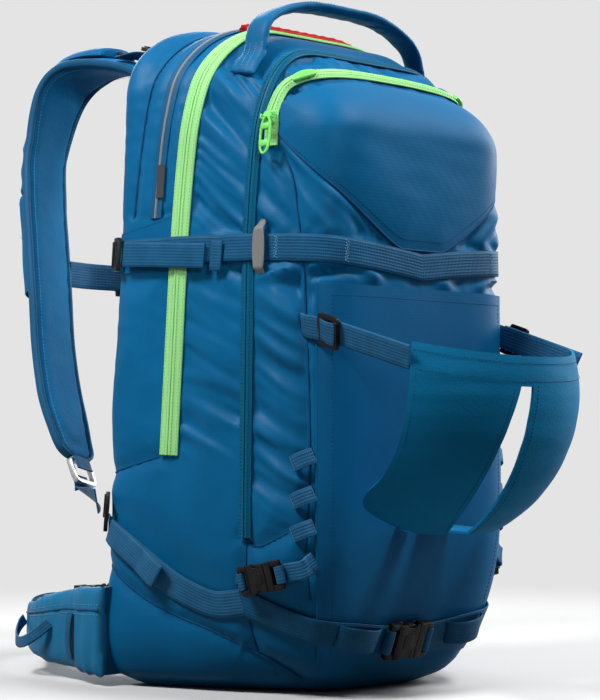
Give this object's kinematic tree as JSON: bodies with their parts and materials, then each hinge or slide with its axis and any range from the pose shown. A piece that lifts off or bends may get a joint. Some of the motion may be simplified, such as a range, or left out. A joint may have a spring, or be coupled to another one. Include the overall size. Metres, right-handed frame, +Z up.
{
  "type": "airbag backpack",
  "caption": "Ski-touring backpack with avalanche airbag, padded straps and hip belt, side zips, front pocket and a stretch sling; buckles, zip sliders and airbag trigger move.",
  "frame": {"origin": "centre of the flat base, on the ground plane", "axes": "+Z up, -Y the front of the pack, +Y towards the wearer, +X the wearer's right"},
  "size_m": [0.373, 0.5775, 0.586],
  "materials": {
    "shell_fabric": "satin woven nylon",
    "flap_fabric": "satin woven nylon",
    "pad_fabric": "padded knit over foam",
    "stretch_fabric": "matt stretch knit",
    "webbing": "ribbed polyester webbing",
    "lime_zip": "coated zip tape",
    "teal_zip": "coated zip tape",
    "lime_moulding": "satin",
    "teal_moulding": "satin",
    "black_plastic": "satin moulded",
    "grey_trim": "reflective tape",
    "red_fabric": "coated airbag fabric",
    "red_plastic": "satin moulded",
    "steel": "satin",
    "alloy": "anodised",
    "sheet_plastic": "matt",
    "cable_jacket": "smooth"
  },
  "bodies": {
    "pack": {"main_compartment": "shell_fabric", "front_compartment": "shell_fabric", "front_pocket": "shell_fabric", "front_flap": "flap_fabric", "back_pads": "pad_fabric", "main_zip": "lime_zip", "tool_zip": "teal_zip", "pocket_zip": "lime_zip", "airbag_seam": "grey_trim", "airbag_lining": "red_fabric", "carry_handle": "pad_fabric", "compression_strap": "webbing", "compression_tails": "webbing", "reflective_keepers": "grey_trim", "ladder_locks_wide": "black_plastic", "ladder_locks_slim": "black_plastic", "shoulder_strap_left": "pad_fabric", "shoulder_strap_right": "pad_fabric", "strap_cover_left": "shell_fabric", "strap_cover_right": "shell_fabric", "trigger_pouch": "shell_fabric", "load_lifters": "webbing", "strap_rings": "steel", "lower_webbing": "webbing", "hip_wing_left": "pad_fabric", "hip_wing_right": "pad_fabric", "gear_loops": "webbing", "hip_webbing": "webbing", "hip_socket": "black_plastic", "sternum_webbing": "webbing", "sternum_socket": "black_plastic", "stretch_sling": "stretch_fabric", "sling_straps": "webbing", "side_webbing": "webbing", "side_sockets": "black_plastic", "base_webbing": "webbing", "base_socket": "black_plastic", "axe_loops": "webbing", "frame_sheet": "sheet_plastic", "frame_stays": "alloy", "unit_bracket": "alloy", "bracket_screws": "steel", "inflation_manifold": "alloy", "gas_cartridge": "alloy", "folded_airbag": "red_fabric", "trigger_cable": "cable_jacket"},
    "trigger": {"trigger_handle": "red_plastic"},
    "wedge": {"release_wedge": "steel"},
    "pin": {"piercing_pin": "steel"},
    "hip_release": {"hip_plug": "black_plastic"},
    "sternum_release": {"sternum_plug": "black_plastic"},
    "base_release": {"base_plug": "black_plastic"},
    "side_release_left": {"side_plug_left": "black_plastic"},
    "side_release_right": {"side_plug_right": "black_plastic"},
    "pocket_zip_slider": {"pocket_slider": "lime_moulding"},
    "pocket_zip_puller": {"pocket_puller": "lime_moulding"},
    "main_zip_slider": {"main_slider": "black_plastic"},
    "main_zip_puller": {"main_puller": "lime_moulding"},
    "tool_zip_slider": {"tool_slider": "black_plastic"},
    "tool_zip_puller": {"tool_puller": "teal_moulding"}
  },
  "joints": [
    {"name": "trigger_pull", "type": "slide", "parent": "pack", "child": "trigger", "axis": [-0.137, -0.3132, -0.9397], "range_m": [0, 0.02]},
    {"name": "wedge_slide", "type": "slide", "parent": "pack", "child": "wedge", "axis": [-1, 0, 0], "range_m": [0, 0.02]},
    {"name": "pin_stroke", "type": "slide", "parent": "pack", "child": "pin", "axis": [0, 0, -1], "range_m": [0, 0.005]},
    {"name": "hip_buckle_pull", "type": "slide", "parent": "pack", "child": "hip_release", "axis": [1, 0, 0], "range_m": [0, 0.031]},
    {"name": "sternum_buckle_pull", "type": "slide", "parent": "pack", "child": "sternum_release", "axis": [1, 0, 0], "range_m": [0, 0.023]},
    {"name": "base_buckle_pull", "type": "slide", "parent": "pack", "child": "base_release", "axis": [1, 0, 0], "range_m": [0, 0.021]},
    {"name": "side_buckle_pull_left", "type": "slide", "parent": "pack", "child": "side_release_left", "axis": [0.2812, -0.9399, 0.1939], "range_m": [0, 0.0165]},
    {"name": "side_buckle_pull_right", "type": "slide", "parent": "pack", "child": "side_release_right", "axis": [-0.2812, -0.9399, 0.1939], "range_m": [0, 0.0165]},
    {"name": "pocket_zip_run", "type": "slide", "parent": "pack", "child": "pocket_zip_slider", "axis": [0.2197, 0.1268, 0.9673], "range_m": [-0.008, 0.006]},
    {"name": "pocket_puller_lift", "type": "hinge", "parent": "pocket_zip_slider", "child": "pocket_zip_puller", "pos_m": [-0.11984, -0.06635, 0.47038], "axis": [-0.2709, 0.9605, -0.0644], "range_deg": [0, 110]},
    {"name": "main_zip_run", "type": "slide", "parent": "pack", "child": "main_zip_slider", "axis": [-0.0364, -0.0293, 0.9989], "range_m": [-0.03, 0.08]},
    {"name": "main_puller_lift", "type": "hinge", "parent": "main_zip_slider", "child": "main_zip_puller", "pos_m": [0.15441, 0.02339, 0.24028], "axis": [-0.2354, -0.9712, -0.0371], "range_deg": [0, 110]},
    {"name": "tool_zip_run", "type": "slide", "parent": "pack", "child": "tool_zip_slider", "axis": [-0.0138, 0, 0.9999], "range_m": [-0.005, 0.12]},
    {"name": "tool_puller_lift", "type": "hinge", "parent": "tool_zip_slider", "child": "tool_zip_puller", "pos_m": [0.13679, -0.05241, 0.18013], "axis": [-0.2486, -0.9686, -0.0034], "range_deg": [0, 110]}
  ],
  "couplings": [
    {"joint": "wedge_slide", "follows": "trigger_pull", "ratio": 1},
    {"joint": "pin_stroke", "follows": "trigger_pull", "ratio": 0.25}
  ]
}
